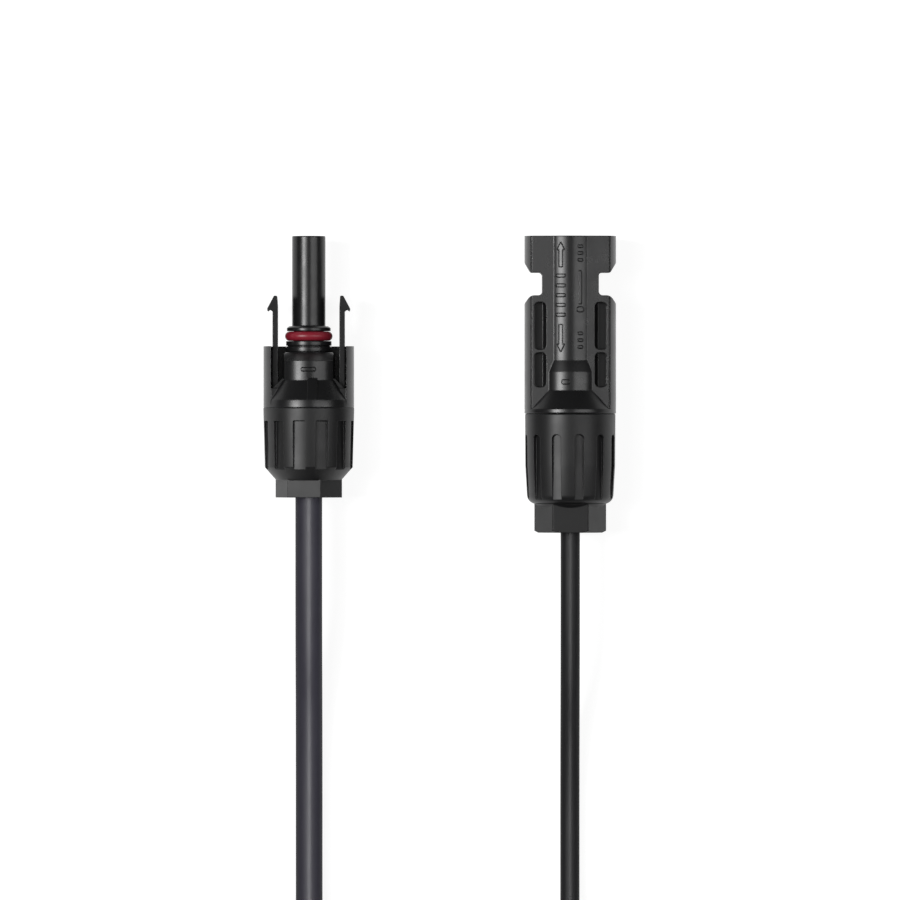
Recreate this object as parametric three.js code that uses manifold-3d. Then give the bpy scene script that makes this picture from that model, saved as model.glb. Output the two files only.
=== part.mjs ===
// A mating pair of single-pole solar cable connectors, each on its own lead, lying side by side on a flat surface.
// Millimetres. Both axes run along Y with the mating ends towards +Y, and Z is up from the surface.
// Each half is built about its own axis: x across the latches, y forwards, z up.
import * as THREE from "three";
import { mergeVertices } from "three/addons/utils/BufferGeometryUtils.js";
import Module from "manifold-3d";

const wasm = await Module();
wasm.setup();

// ---- Driving sizes -------------------------------------------------------------------------------------------

const BODY_R = 9.4; // the largest round section of either half, which sets the height of the axes
const HALF_SPACING = 26.8; // from the middle of the pair to each axis
const FRONT_Y = 30.4; // both mating ends are level, and the longer half is centred on Y = 0
const GAP = 0.3; // clearance between pieces that rest on or fit round each other
const FINE_GAP = 0.15; // clearance of the contact in its bore

const ROUND = 32; // facets round an outer surface
const SMALL_ROUND = 16; // facets round an inner piece

const NOSE_LENGTH = 22.6; // plug shoulder to nose tip, which is also how deep it enters the receptacle
const NOSE_R = 3.42;
const PIN_R = 2.0;
const CONTACT_R = 2.55; // contact body, in both halves
const CONTACT_BORE_R = CONTACT_R + FINE_GAP;

const PLUG_COLLAR = -12.6; // back face of the plug's collar, from its shoulder
const RECEPTACLE_COLLAR = -36.4; // back face of the receptacle's collar, from its mouth

// Plug cable and receptacle cable, as radii of jacket, insulation and conductor.
const THICK = { jacket: 2.75, insulation: 2.05, conductor: 1.25 };
const THIN = { jacket: 1.975, insulation: 1.4, conductor: 0.85 };

// ---- Shape helpers -------------------------------------------------------------------------------------------

// A solid for booleans from a closed geometry, turned to face out whichever way its outline was drawn.
function solid(geometry) {
  const bare = geometry.clone();
  bare.deleteAttribute("normal");
  bare.deleteAttribute("uv");
  const merged = mergeVertices(bare, 1e-4);
  const vertProperties = new Float32Array(merged.attributes.position.array);
  const triVerts = new Uint32Array(merged.index.array);
  const made = new wasm.Manifold(new wasm.Mesh({ numProp: 3, vertProperties, triVerts }));
  if (made.volume() >= 0) return made;
  for (let i = 0; i < triVerts.length; i += 3) {
    [triVerts[i + 1], triVerts[i + 2]] = [triVerts[i + 2], triVerts[i + 1]];
  }
  return new wasm.Manifold(new wasm.Mesh({ numProp: 3, vertProperties, triVerts }));
}

function joined(solids) {
  return solids.reduce((sum, next) => sum.add(next));
}

// A solid back as a geometry with flat faces.
function geometryOf(made) {
  const mesh = made.getMesh();
  const position = new Float32Array(mesh.numVert * 3);
  for (let i = 0; i < mesh.numVert; i += 1) {
    position.set(mesh.vertProperties.subarray(i * mesh.numProp, i * mesh.numProp + 3), i * 3);
  }
  const geometry = new THREE.BufferGeometry();
  geometry.setAttribute("position", new THREE.BufferAttribute(position, 3));
  geometry.setIndex(new THREE.BufferAttribute(new Uint32Array(mesh.triVerts), 1));
  const flat = geometry.toNonIndexed();
  flat.computeVertexNormals();
  return flat;
}

function vectors(points) {
  return points.map(([a, b]) => new THREE.Vector2(a, b));
}

// Turned about the Y axis from [radius, y] points: from axis to axis, or round a closed section.
function turned(points, facets = ROUND) {
  return solid(new THREE.LatheGeometry(vectors(points), facets));
}

function ringOf(points, facets = ROUND) {
  return turned([...points, points[0]], facets);
}

function disc(radius, yBack, yFront, facets = ROUND) {
  return turned([[0, yBack], [radius, yBack], [radius, yFront], [0, yFront]], facets);
}

function extruded(shape, depth) {
  return new THREE.ExtrudeGeometry(shape, { depth, bevelEnabled: false, curveSegments: 2 });
}

// A plan outline in [x, y], raised from zLow to zHigh.
function plan(shape, zLow, zHigh) {
  return solid(extruded(shape, zHigh - zLow).translate(0, 0, zLow));
}

// A cross-section outline in [x, z], carried along the axis from yBack to yFront.
function across(points, yBack, yFront) {
  const shape = new THREE.Shape(vectors(points));
  return solid(extruded(shape, yFront - yBack).rotateX(Math.PI / 2).translate(0, yFront, 0));
}

function box(xLow, xHigh, yLow, yHigh, zLow, zHigh) {
  const block = new THREE.BoxGeometry(xHigh - xLow, yHigh - yLow, zHigh - zLow);
  return solid(block.translate((xLow + xHigh) / 2, (yLow + yHigh) / 2, (zLow + zHigh) / 2));
}

// A rectangle in plan with round corners.
function roundedPlan(xLow, xHigh, yLow, yHigh, corner) {
  const shape = new THREE.Shape();
  shape.moveTo(xLow + corner, yLow);
  shape.lineTo(xHigh - corner, yLow);
  shape.absarc(xHigh - corner, yLow + corner, corner, -Math.PI / 2, 0);
  shape.absarc(xHigh - corner, yHigh - corner, corner, 0, Math.PI / 2);
  shape.absarc(xLow + corner, yHigh - corner, corner, Math.PI / 2, Math.PI);
  shape.absarc(xLow + corner, yLow + corner, corner, Math.PI, 1.5 * Math.PI);
  return shape;
}

// The same solid on both sides of the plane x = 0.
function bothSides(made) {
  return made.add(made.mirror([1, 0, 0]));
}

// ---- Materials -----------------------------------------------------------------------------------------------

function material(color, roughness, metalness = 0) {
  return new THREE.MeshStandardMaterial({ color, roughness, metalness });
}

const housingPlastic = material(0x262729, 0.45);
const nutPlastic = material(0x232426, 0.45);
const cagePlastic = material(0x9a9c9e, 0.5);
const ringRubber = material(0x8e1f2e, 0.45);
const sealRubber = material(0x2c2d2e, 0.8);
const contactMetal = material(0xb9bcc0, 0.3, 1);
const springMetal = material(0xc6a15a, 0.35, 1);
const strandMetal = material(0xc7c9cc, 0.35, 1);
const insulationPlastic = material(0xd8d8d4, 0.6);
const thickJacket = material(0x2b2e33, 0.55);
const thinJacket = material(0x1f2022, 0.5);
const strapFabric = material(0x35373a, 0.9);

function piece(name, made, look) {
  const geometry = made.isBufferGeometry ? made : geometryOf(made);
  const mesh = new THREE.Mesh(geometry, look);
  mesh.name = name;
  return mesh;
}

// ---- The cable gland, the same design on both halves ---------------------------------------------------------
// Everything here is placed from the back face of the collar, at y = collar.

const CREST_R = 7.5; // the tail of the housing, plain at the crests of its screw thread
const TAIL_LENGTH = 9.4;
const TAIL_BORE_R = 6.2;
const CAVITY_R = 4.2; // chamber for the contact's flange and clip
const CAVITY_FRONT = 11.0; // ahead of the collar's back face
const CAVITY_BACK = 0.8;
const FLANGE_FRONT = 8.6;
const FLANGE_BACK = 7.6;
const BARREL_BACK = 1.6;
const BARREL_R = 2.3;
const NUT_BORE_R = CREST_R + GAP;
const CONE_FRONT = 11.0; // the cone inside the nut, behind the collar's back face
const CONE_BACK = 15.0;
const CONE_FRONT_R = 6.6;
const CONE_BACK_R = 5.0;
const SEAL_R = 4.4;
const CAGE_BORE_R = SEAL_R + FINE_GAP;

// The bore profile of a housing from the contact bore back to the end of the tail, as [radius, y].
function rearBore(collar) {
  return [
    [CONTACT_BORE_R, collar + CAVITY_FRONT],
    [CAVITY_R, collar + CAVITY_FRONT],
    [CAVITY_R, collar + CAVITY_BACK],
    [TAIL_BORE_R, collar],
    [TAIL_BORE_R, collar - TAIL_LENGTH],
  ];
}

// The seal squeezed onto the cable.
function glandSeal(prefix, collar, cable) {
  const inner = cable.jacket + GAP;
  const profile = [
    [inner, collar - 1.5],
    [SEAL_R - 0.4, collar - 1.5],
    [SEAL_R, collar - 1.9],
    [SEAL_R, collar - 12.1],
    [SEAL_R - 0.4, collar - 12.5],
    [inner, collar - 12.5],
  ];
  return piece(prefix + "_gland_seal", ringOf(profile, SMALL_ROUND), sealRubber);
}

// The cage: a sleeve in the tail, a flange behind the tail's end, and fingers that the nut's cone closes.
function clampCage(prefix, collar) {
  const sleeveR = TAIL_BORE_R - GAP;
  const flangeR = 6.9;
  const flangeFront = collar - TAIL_LENGTH - GAP;
  const flangeBack = flangeFront - 0.8;
  const fingerTip = collar - 14.0;
  const profile = [
    [CAGE_BORE_R, collar - 5.0],
    [sleeveR, collar - 5.0],
    [sleeveR, flangeFront],
    [flangeR, flangeFront],
    [flangeR, flangeBack],
    [CONE_FRONT_R - 0.4, flangeBack],
    [CONE_FRONT_R - 0.4, collar - CONE_FRONT],
    [5.05, fingerTip],
    [CAGE_BORE_R, fingerTip],
  ];
  const slots = 3; // each slot runs right across, so three make six fingers
  const slotWidth = 1.1;
  let cage = ringOf(profile, 18);
  for (let i = 0; i < slots; i += 1) {
    const slot = box(-slotWidth / 2, slotWidth / 2, fingerTip - 1, flangeBack - 0.4, -8, 8);
    cage = cage.subtract(slot.rotate([0, (i * 180) / slots, 0]));
  }
  return piece(prefix + "_clamp_cage", cage, cagePlastic);
}

// The hollow of a gland nut.
function nutHollow(collar, back, holeR) {
  return turned([
    [0, collar],
    [NUT_BORE_R, collar],
    [NUT_BORE_R, collar - CONE_FRONT],
    [CONE_FRONT_R, collar - CONE_FRONT],
    [CONE_BACK_R, collar - CONE_BACK],
    [holeR, collar - CONE_BACK],
    [holeR, back - 1],
    [0, back - 1],
  ], 24);
}

// Grip grooves all round a nut: each a plan outline sunk to floorR.
function grooves(shape, floorR, firstDegrees) {
  const count = 12;
  const cutter = plan(shape, floorR, BODY_R + 1);
  const cutters = [];
  for (let i = 0; i < count; i += 1) cutters.push(cutter.rotate([0, firstDegrees + (i * 360) / count, 0]));
  return joined(cutters);
}

// A hexagon about the axis. At 0 degrees one flat faces up.
function hexagon(acrossCorners, yBack, yFront, degrees) {
  const prism = new THREE.CylinderGeometry(acrossCorners / 2, acrossCorners / 2, yFront - yBack, 6);
  prism.rotateY(THREE.MathUtils.degToRad(30 + degrees)).translate(0, (yBack + yFront) / 2, 0);
  return solid(prism);
}

// The barbed clip that holds the contact in its chamber.
function contactClip(prefix, collar) {
  const inner = CONTACT_BORE_R;
  const profile = [
    [inner, collar + 10.6],
    [inner + 0.3, collar + 10.6],
    [3.9, collar + 9.1],
    [3.7, collar + 8.9],
    [inner, collar + 9.7],
  ];
  return piece(prefix + "_contact_clip", ringOf(profile, SMALL_ROUND), springMetal);
}

// Flange, crimp barrel and wire bore at the back of a contact, as [radius, y] from the body to the axis.
function contactTail(collar, cable) {
  const bore = cable.conductor + GAP;
  return [
    [CONTACT_R, collar + FLANGE_FRONT],
    [3.4, collar + FLANGE_FRONT],
    [3.4, collar + FLANGE_BACK],
    [BARREL_R, collar + FLANGE_BACK],
    [BARREL_R, collar + BARREL_BACK],
    [bore, collar + BARREL_BACK],
    [bore, collar + FLANGE_BACK - 0.6],
    [0, collar + FLANGE_BACK - 0.6],
  ];
}

// The stripped end of the cable inside the housing.
const JACKET_START = -1.0; // behind the collar's back face

function strippedEnd(prefix, collar, cable) {
  const stripped = collar + JACKET_START + GAP;
  const conductor = disc(cable.conductor, stripped, collar + FLANGE_BACK - 0.9, 12);
  const sleeve = ringOf([
    [cable.conductor + FINE_GAP, collar + BARREL_BACK - GAP],
    [cable.insulation, collar + BARREL_BACK - GAP],
    [cable.insulation, stripped],
    [cable.conductor + FINE_GAP, stripped],
  ], 16);
  return [
    piece(prefix + "_conductor", conductor, strandMetal),
    piece(prefix + "_wire_insulation", sleeve, insulationPlastic),
  ];
}

// ---- Plug half: y = 0 at the shoulder ------------------------------------------------------------------------

const WING_X = 7.7; // inner face of the side walls
const PLUG_R = 9.3;
const SLOT_FLOOR = -8.6; // where the latch fingers grow from
const FINGER_INNER = 6.3;
const FINGER_OUTER = WING_X - GAP;
const FINGER_HALF_WIDTH = 3.0;

const PLUG_NUT_BACK = -31.0;

function plugHousing() {
  const seatR = 4.675;
  const grooveR = 3.1;
  const coreR = 5.3;
  const bossR = 7.2;
  const bossFront = -3.0;
  const bossBack = -6.5;
  const collarFront = -10.9;
  const core = ringOf([
    [CONTACT_BORE_R - 0.4, NOSE_LENGTH],
    [NOSE_R - 0.15, NOSE_LENGTH],
    [NOSE_R, NOSE_LENGTH - 0.15],
    [NOSE_R, 4.1],
    [4.2, 4.1],
    [4.5, 3.8],
    [4.5, 3.1],
    [grooveR, 3.1],
    [grooveR, 1.05],
    [seatR, 1.05],
    [seatR, 0.15],
    [seatR - 0.25, 0.15],
    [seatR - 0.25, -0.15],
    [seatR, -0.15],
    [seatR, -1.1],
    [coreR, -1.3],
    [coreR, collarFront],
    [PLUG_R - 0.2, collarFront],
    [PLUG_R, collarFront - 0.2],
    [PLUG_R, PLUG_COLLAR],
    [CREST_R, PLUG_COLLAR],
    [CREST_R, PLUG_COLLAR - TAIL_LENGTH],
    ...rearBore(PLUG_COLLAR).reverse(),
    [CONTACT_BORE_R, NOSE_LENGTH - 1.0],
    [CONTACT_BORE_R - 0.4, NOSE_LENGTH - 1.0],
  ]);
  const envelope = disc(PLUG_R, PLUG_COLLAR, 0);
  const hollow = disc(4.5, PLUG_COLLAR, 0); // keeps added walls out of the chamber
  const boss = turned([
    [0, bossBack],
    [bossR, bossBack],
    [bossR, bossFront],
    [4.8, -1.25],
    [0, -1.25],
  ]).intersect(box(-5.1, 5.1, -8, 0, -8, 8));
  const cone = turned([
    [0, -12],
    [9.15, -12],
    [9.15, collarFront],
    [bossR, bossBack],
    [0, bossBack],
  ]);
  const flatZ = 5.1; // the cone shows only above the flats of the block behind the latches
  const block = box(-WING_X - 0.2, WING_X + 0.2, -12, SLOT_FLOOR, -flatZ, flatZ);
  const coneTops = cone.subtract(box(-10, 10, -13, 0, -flatZ, flatZ));
  const rib = box(-1, 1, -11, bossBack, -8.4, 8.4);
  const wing = box(WING_X, 10, PLUG_COLLAR, 0, -6, 6);
  const web = box(-8.5, 8.5, -9.5, 0, -5.2, -3.7);
  const neck = cone.intersect(box(-5.1, 5.1, -12, 0, -8, 8));
  const walls = joined([boss, neck, block, coneTops, rib, bothSides(wing), web]);
  return piece("plug_housing", core.add(walls.intersect(envelope).subtract(hollow)), housingPlastic);
}

// One latch finger, on the side of positive x: a flat strip with an outward barb that ends in a square ledge.
function latchFinger() {
  const root = SLOT_FLOOR + GAP;
  const tip = 10.35;
  const ledge = 7.2;
  return plan(new THREE.Shape(vectors([
    [FINGER_INNER, root],
    [FINGER_OUTER, root],
    [FINGER_OUTER, ledge - 0.1],
    [FINGER_OUTER + 0.4, ledge + 0.2],
    [8.4, ledge - 0.05],
    [8.5, ledge + 0.5],
    [FINGER_INNER + 0.75, tip],
    [FINGER_INNER + 0.2, tip],
    [FINGER_INNER, tip - 0.3],
  ])), -FINGER_HALF_WIDTH, FINGER_HALF_WIDTH);
}

function sealingRing() {
  const sides = 8;
  const centreR = 4.01;
  const centreY = 2.07;
  const points = [];
  for (let i = 0; i < sides; i += 1) {
    const angle = (2 * Math.PI * i) / sides;
    points.push([centreR + 0.86 * Math.cos(angle), centreY + 0.95 * Math.sin(angle)]);
  }
  return piece("plug_o_ring", ringOf(points, 20), ringRubber);
}

const SOCKET_FRONT = 21.3;
const SOCKET_FLOOR = 5.0;
const SPRING_FRONT = 17.0;
const SPRING_BACK = 9.0;

function socketContact() {
  const bore = PIN_R + 0.25;
  const grooveR = bore + 0.15;
  const made = turned([
    [0, SOCKET_FLOOR],
    [bore, SOCKET_FLOOR],
    [bore, SPRING_BACK],
    [grooveR, SPRING_BACK],
    [grooveR, SPRING_FRONT],
    [bore, SPRING_FRONT],
    [bore, SOCKET_FRONT],
    [CONTACT_R, SOCKET_FRONT],
    ...contactTail(PLUG_COLLAR, THICK),
  ], SMALL_ROUND);
  return piece("plug_socket_contact", made, contactMetal);
}

// The lamella band in the socket, which closes a little towards its middle.
function contactSpring() {
  const front = SPRING_FRONT - 0.2;
  const back = SPRING_BACK + 0.2;
  const middle = (front + back) / 2;
  const outer = PIN_R + 0.33;
  const made = ringOf([
    [outer, front],
    [outer - 0.16, middle],
    [outer, back],
    [outer - 0.12, back],
    [outer - 0.28, middle],
    [outer - 0.12, front],
  ], SMALL_ROUND);
  return piece("plug_contact_spring", made, springMetal);
}

function plugNut() {
  const front = PLUG_COLLAR - GAP;
  const barrelBack = -24.8;
  const hexFront = -27.4;
  const barrel = turned([
    [0, front],
    [9.15, front],
    [9.32, front - 0.2],
    [9.0, barrelBack],
    [6.8, hexFront],
    [0, hexFront],
  ]);
  const hex = hexagon(13.8, PLUG_NUT_BACK, hexFront + 0.5, -9);
  const groove = new THREE.Shape(vectors([[-1.25, -28], [1.25, -28], [1.25, -15.3], [-1.25, -15.3]]));
  const made = barrel
    .add(hex)
    .subtract(grooves(groove, 8.4, -12))
    .subtract(nutHollow(PLUG_COLLAR, PLUG_NUT_BACK, 3.6));
  return piece("plug_gland_nut", made, nutPlastic);
}

function plugHalf() {
  const half = new THREE.Group();
  const finger = latchFinger();
  half.add(
    plugHousing(),
    piece("plug_latch_right", finger, housingPlastic),
    piece("plug_latch_left", finger.mirror([1, 0, 0]), housingPlastic),
    sealingRing(),
    socketContact(),
    contactSpring(),
    contactClip("plug", PLUG_COLLAR),
    ...strippedEnd("plug", PLUG_COLLAR, THICK),
    glandSeal("plug", PLUG_COLLAR, THICK),
    clampCage("plug", PLUG_COLLAR),
    plugNut(),
  );
  half.position.set(-HALF_SPACING, FRONT_Y - NOSE_LENGTH, BODY_R);
  return half;
}

// ---- Receptacle half: y = 0 at the mouth ---------------------------------------------------------------------

const RIDGE_Z = 6.0; // the flats slope down a little from the middle to the sides
const EDGE_Z = 4.95;
const TUBE_R = 6.57;
const NECK_X = 5.8;
const NOTCH_FRONT = -7.5;
const NOTCH_BACK = -12.2;
const RECEPTACLE_NUT_BACK = -60.8;

function receptacleHousing() {
  const bossR = 7.05;
  const bodyBack = -35.8;
  const tube = ringOf([
    [4.8, 0],
    [TUBE_R, 0],
    [TUBE_R, -25.5],
    [bossR, -27.9],
    [bossR, -31.7],
    [BODY_R, -35.5],
    [BODY_R, RECEPTACLE_COLLAR],
    [CREST_R, RECEPTACLE_COLLAR],
    [CREST_R, RECEPTACLE_COLLAR - TAIL_LENGTH],
    ...rearBore(RECEPTACLE_COLLAR).reverse(),
    [CONTACT_BORE_R, -NOSE_LENGTH - 0.6],
    [NOSE_R + 0.18, -NOSE_LENGTH - 0.6],
    [NOSE_R + 0.18, -5.2],
    [4.8, -4.6],
  ]);
  const section = across([
    [-BODY_R, EDGE_Z],
    [0, RIDGE_Z],
    [BODY_R, EDGE_Z],
    [BODY_R, -EDGE_Z],
    [0, -RIDGE_Z],
    [-BODY_R, -EDGE_Z],
  ], bodyBack, 0);
  const hollow = disc(5.6, bodyBack - 1, 1); // keeps the flats out of the bores
  const sideR = BODY_R - 0.1; // round sides, just inside the collar's rim
  const walls = section.intersect(disc(sideR, bodyBack - 1, 1)).subtract(hollow);
  const bevel = 1.9; // on the head's back corners
  const notch = bothSides(plan(new THREE.Shape(vectors([
    [NECK_X, NOTCH_BACK],
    [BODY_R + 1, NOTCH_BACK],
    [BODY_R + 1, NOTCH_FRONT + bevel],
    [BODY_R, NOTCH_FRONT + bevel],
    [BODY_R - 1.0, NOTCH_FRONT],
    [NECK_X, NOTCH_FRONT],
  ])), -8, 8));
  const channel = bothSides(box(NECK_X, 8.0, NOTCH_FRONT - 1, 1, -3.2, 3.2));
  const pocketFloor = 2.6; // half thickness of the middle left between opposite pockets
  const pockets = [];
  for (const [back, front] of [[-23.3, -13.6], [-31.0, -23.9]]) {
    const outline = roundedPlan(4.95, 7.45, back, front, 0.7);
    pockets.push(bothSides(plan(outline, pocketFloor, 8)));
    pockets.push(bothSides(plan(outline, -8, -pocketFloor)));
  }
  const made = tube.add(walls).subtract(joined([notch, channel, ...pockets]));
  return piece("receptacle_housing", made, housingPlastic);
}

const PIN_TIP = -6.0;

function pinContact() {
  const made = turned([
    [0, PIN_TIP],
    [1.0, PIN_TIP - 0.15],
    [1.6, PIN_TIP - 0.6],
    [PIN_R, PIN_TIP - 1.6],
    [PIN_R, -NOSE_LENGTH],
    [CONTACT_R, -NOSE_LENGTH - 0.5],
    ...contactTail(RECEPTACLE_COLLAR, THIN),
  ], SMALL_ROUND);
  return piece("receptacle_pin_contact", made, contactMetal);
}

function receptacleNut() {
  const front = RECEPTACLE_COLLAR - GAP;
  const barrelBack = -54.9;
  const cornerR = 2.0;
  const bareR = 8.97;
  const outline = [[0, front], [9.1, front], [9.27, front - 0.2]];
  for (let i = 0; i <= 4; i += 1) {
    const angle = (i * Math.PI) / 8;
    const x = bareR - cornerR + cornerR * Math.cos(angle);
    outline.push([x, barrelBack + cornerR - cornerR * Math.sin(angle)]);
  }
  const barrel = turned([...outline, [0, barrelBack]]);
  const hexBevel = turned([
    [0, barrelBack + 1],
    [8, barrelBack + 1],
    [8, RECEPTACLE_NUT_BACK + 1],
    [6.7, RECEPTACLE_NUT_BACK],
    [0, RECEPTACLE_NUT_BACK],
  ]);
  const hex = hexagon(14.7, RECEPTACLE_NUT_BACK, barrelBack + 0.5, 0).intersect(hexBevel);
  const halfGroove = 0.95;
  const groove = new THREE.Shape();
  groove.moveTo(-halfGroove, -56);
  groove.lineTo(halfGroove, -56);
  groove.absarc(0, -40.7 - halfGroove, halfGroove, 0, Math.PI);
  const made = barrel
    .add(hex)
    .subtract(grooves(groove, 8.35, 11.4))
    .subtract(nutHollow(RECEPTACLE_COLLAR, RECEPTACLE_NUT_BACK, 2.8));
  return piece("receptacle_gland_nut", made, nutPlastic);
}

function receptacleHalf() {
  const half = new THREE.Group();
  half.add(
    receptacleHousing(),
    pinContact(),
    contactClip("receptacle", RECEPTACLE_COLLAR),
    ...strippedEnd("receptacle", RECEPTACLE_COLLAR, THIN),
    glandSeal("receptacle", RECEPTACLE_COLLAR, THIN),
    clampCage("receptacle", RECEPTACLE_COLLAR),
    receptacleNut(),
  );
  half.position.set(HALF_SPACING, FRONT_Y, BODY_R);
  return half;
}

// ---- Leads, in the part's own frame --------------------------------------------------------------------------
// Each cable leaves its nut level, comes down to the surface, and ends in a tied coil with its bare end on top.

const STRAP = 0.7; // thickness of the strap round each coil
const COIL_Z = STRAP + GAP; // the coil lies on its strap
const CABLE_SIDES = 8;

function tube(name, points, radius, steps, look) {
  const path = new THREE.CatmullRomCurve3(points.map(([x, y, z]) => new THREE.Vector3(x, y, z)), false, "centripetal");
  const section = new THREE.Shape();
  section.absarc(0, 0, radius, 0, 2 * Math.PI);
  const options = { steps, extrudePath: path, bevelEnabled: false, curveSegments: CABLE_SIDES / 2 };
  return piece(name, solid(new THREE.ExtrudeGeometry(section, options)), look);
}

// The coil as one ring, as tall as its layers and as wide as its turns.
function coilRing(name, coil, cable, look) {
  const inner = coil.innerR - cable.jacket;
  const outer = coil.outerR + cable.jacket;
  const top = COIL_Z + 2 * cable.jacket * coil.layers;
  const bevel = cable.jacket * 0.6;
  const ring = new THREE.LatheGeometry(vectors([
    [inner, COIL_Z + bevel],
    [inner + bevel, COIL_Z],
    [outer - bevel, COIL_Z],
    [outer, COIL_Z + bevel],
    [outer, top - bevel],
    [outer - bevel, top],
    [inner + bevel, top],
    [inner, top - bevel],
    [inner, COIL_Z + bevel],
  ]), 24);
  ring.rotateX(Math.PI / 2);
  return piece(name, solid(ring).translate([coil.x, coil.y, 0]), look);
}

// A strap round the far side of the coil.
function coilStrap(name, coil, cable) {
  const halfWidth = 5;
  const room = 0.5;
  const yFar = coil.y - coil.outerR - cable.jacket - room;
  const yNear = coil.y - coil.innerR + cable.jacket + room + 0.4;
  const top = COIL_Z + 2 * cable.jacket * coil.layers + GAP;
  const outside = box(coil.x - halfWidth, coil.x + halfWidth, yFar - STRAP, yNear + STRAP, 0, top + STRAP);
  const inside = box(coil.x - halfWidth - 1, coil.x + halfWidth + 1, yFar, yNear, STRAP, top);
  return piece(name, outside.subtract(inside), strapFabric);
}

// The loose tail: an arc on top of the coil, then the bare end of the wire.
function coilTail(prefix, coil, cable, look) {
  const radius = (coil.innerR + coil.outerR) / 2;
  const z = COIL_Z + 2 * cable.jacket * coil.layers + GAP + cable.jacket;
  const at = (degrees) => {
    const angle = THREE.MathUtils.degToRad(degrees);
    return [coil.x + radius * Math.cos(angle), coil.y + radius * Math.sin(angle), z];
  };
  const points = [];
  for (let i = 0; i <= 6; i += 1) points.push(at(coil.tailFrom + (i * coil.tailSweep) / 6));
  const tail = tube(prefix + "_cable_tail", points, cable.jacket, 10, look);
  const end = coil.tailFrom + coil.tailSweep;
  const ahead = Math.sign(coil.tailSweep);
  const [x, y] = at(end);
  const heading = THREE.MathUtils.degToRad(end + 90 * ahead);
  const along = (distance) => [x + distance * Math.cos(heading), y + distance * Math.sin(heading), z];
  const insulationEnd = GAP + 6;
  const insulation = tube(
    prefix + "_end_insulation", [along(GAP), along(insulationEnd)], cable.insulation, 1, insulationPlastic,
  );
  const strands = tube(
    prefix + "_end_strands", [along(insulationEnd + GAP), along(insulationEnd + 8)], cable.conductor, 1, strandMetal,
  );
  return [tail, insulation, strands];
}

function lead(prefix, start, route, coil, cable, look) {
  return [
    tube(prefix + "_cable", [start, ...route], cable.jacket, 36, look),
    coilRing(prefix + "_cable_coil", coil, cable, look),
    coilStrap(prefix + "_cable_strap", coil, cable),
    ...coilTail(prefix, coil, cable, look),
  ];
}

function plugLead() {
  const x = -HALF_SPACING;
  const low = THICK.jacket;
  const start = [x, FRONT_Y - NOSE_LENGTH + PLUG_COLLAR + JACKET_START, BODY_R];
  const route = [
    [x, -24, BODY_R],
    [x, -42, BODY_R],
    [x, -54, 7.9],
    [x, -66, 4.6],
    [x, -78, low + 0.2],
    [x, -92, low],
    [x, -130, low],
    [x, -150, low],
    [x, -166, low + 0.4],
    [x, -181, low + COIL_Z],
  ];
  const coil = { x: 5.8, y: -201, innerR: 27, outerR: 32.5, layers: 2, tailFrom: 350, tailSweep: 70 };
  return lead("plug", start, route, coil, THICK, thickJacket);
}

function receptacleLead() {
  const x = HALF_SPACING;
  const low = THIN.jacket;
  const start = [x, FRONT_Y + RECEPTACLE_COLLAR + JACKET_START, BODY_R];
  const route = [
    [x, -30, BODY_R],
    [x, -48, BODY_R],
    [x, -60, 7.7],
    [x, -72, 4.1],
    [x, -84, low + 0.2],
    [x, -96, low],
    [x, -108, low + 0.4],
    [x, -121, low + COIL_Z],
  ];
  const coil = { x: 4.9, y: -135, innerR: 18, outerR: 22, layers: 3, tailFrom: 190, tailSweep: -80 };
  return lead("receptacle", start, route, coil, THIN, thinJacket);
}

const pair = new THREE.Group();
pair.name = "solar_connector_pair";
pair.add(plugHalf(), receptacleHalf(), ...plugLead(), ...receptacleLead());

export default pair;
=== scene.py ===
"""A mating pair of solar cable connectors lying on a pale floor, each with its own coiled lead.

Shapes are worked out in millimetres and scaled to metres when a piece is finished. Each half is
built about its own axis: x across the latches, y forwards to the mating end, z up from the floor.
"""
import math

import bmesh
import bpy
from mathutils import Matrix, Vector


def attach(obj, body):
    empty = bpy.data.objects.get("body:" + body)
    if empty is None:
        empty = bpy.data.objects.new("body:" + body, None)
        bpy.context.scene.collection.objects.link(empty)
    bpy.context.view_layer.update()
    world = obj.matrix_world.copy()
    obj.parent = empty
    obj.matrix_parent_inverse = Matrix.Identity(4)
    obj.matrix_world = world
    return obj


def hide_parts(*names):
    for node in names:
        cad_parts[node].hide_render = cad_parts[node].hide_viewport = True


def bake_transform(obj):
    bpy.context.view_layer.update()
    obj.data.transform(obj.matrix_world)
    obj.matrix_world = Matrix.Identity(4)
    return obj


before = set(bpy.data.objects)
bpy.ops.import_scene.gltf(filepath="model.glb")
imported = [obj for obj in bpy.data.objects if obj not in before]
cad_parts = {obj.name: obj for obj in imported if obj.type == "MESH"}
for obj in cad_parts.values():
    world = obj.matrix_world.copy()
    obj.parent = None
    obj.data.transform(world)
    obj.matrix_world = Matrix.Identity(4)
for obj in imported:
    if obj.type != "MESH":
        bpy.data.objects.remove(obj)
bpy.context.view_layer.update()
scene = bpy.context.scene

# ---- Driving sizes, in millimetres ---------------------------------------------------------------

AXIS_Z = 9.4
HALF_SPACING = 26.8
FRONT_Y = 30.4
NOSE_LENGTH = 22.6
PLUG_PLACE = Vector((-HALF_SPACING, FRONT_Y - NOSE_LENGTH, AXIS_Z))
RECEPTACLE_PLACE = Vector((HALF_SPACING, FRONT_Y, AXIS_Z))
MIDDLE = Vector((0, 0, 0))
GAP = 0.3
SEAM = 0.01  # between a collar and the nut screwed up to it

PLUG_COLLAR = -12.6
RECEPTACLE_COLLAR = -36.4
PLUG_NUT_BACK = -31.0
RECEPTACLE_NUT_BACK = -60.8
THICK = {"jacket": 2.75, "insulation": 2.05, "conductor": 1.25}
THIN = {"jacket": 1.975, "insulation": 1.4, "conductor": 0.85}

# ---- Camera --------------------------------------------------------------------------------------

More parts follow.
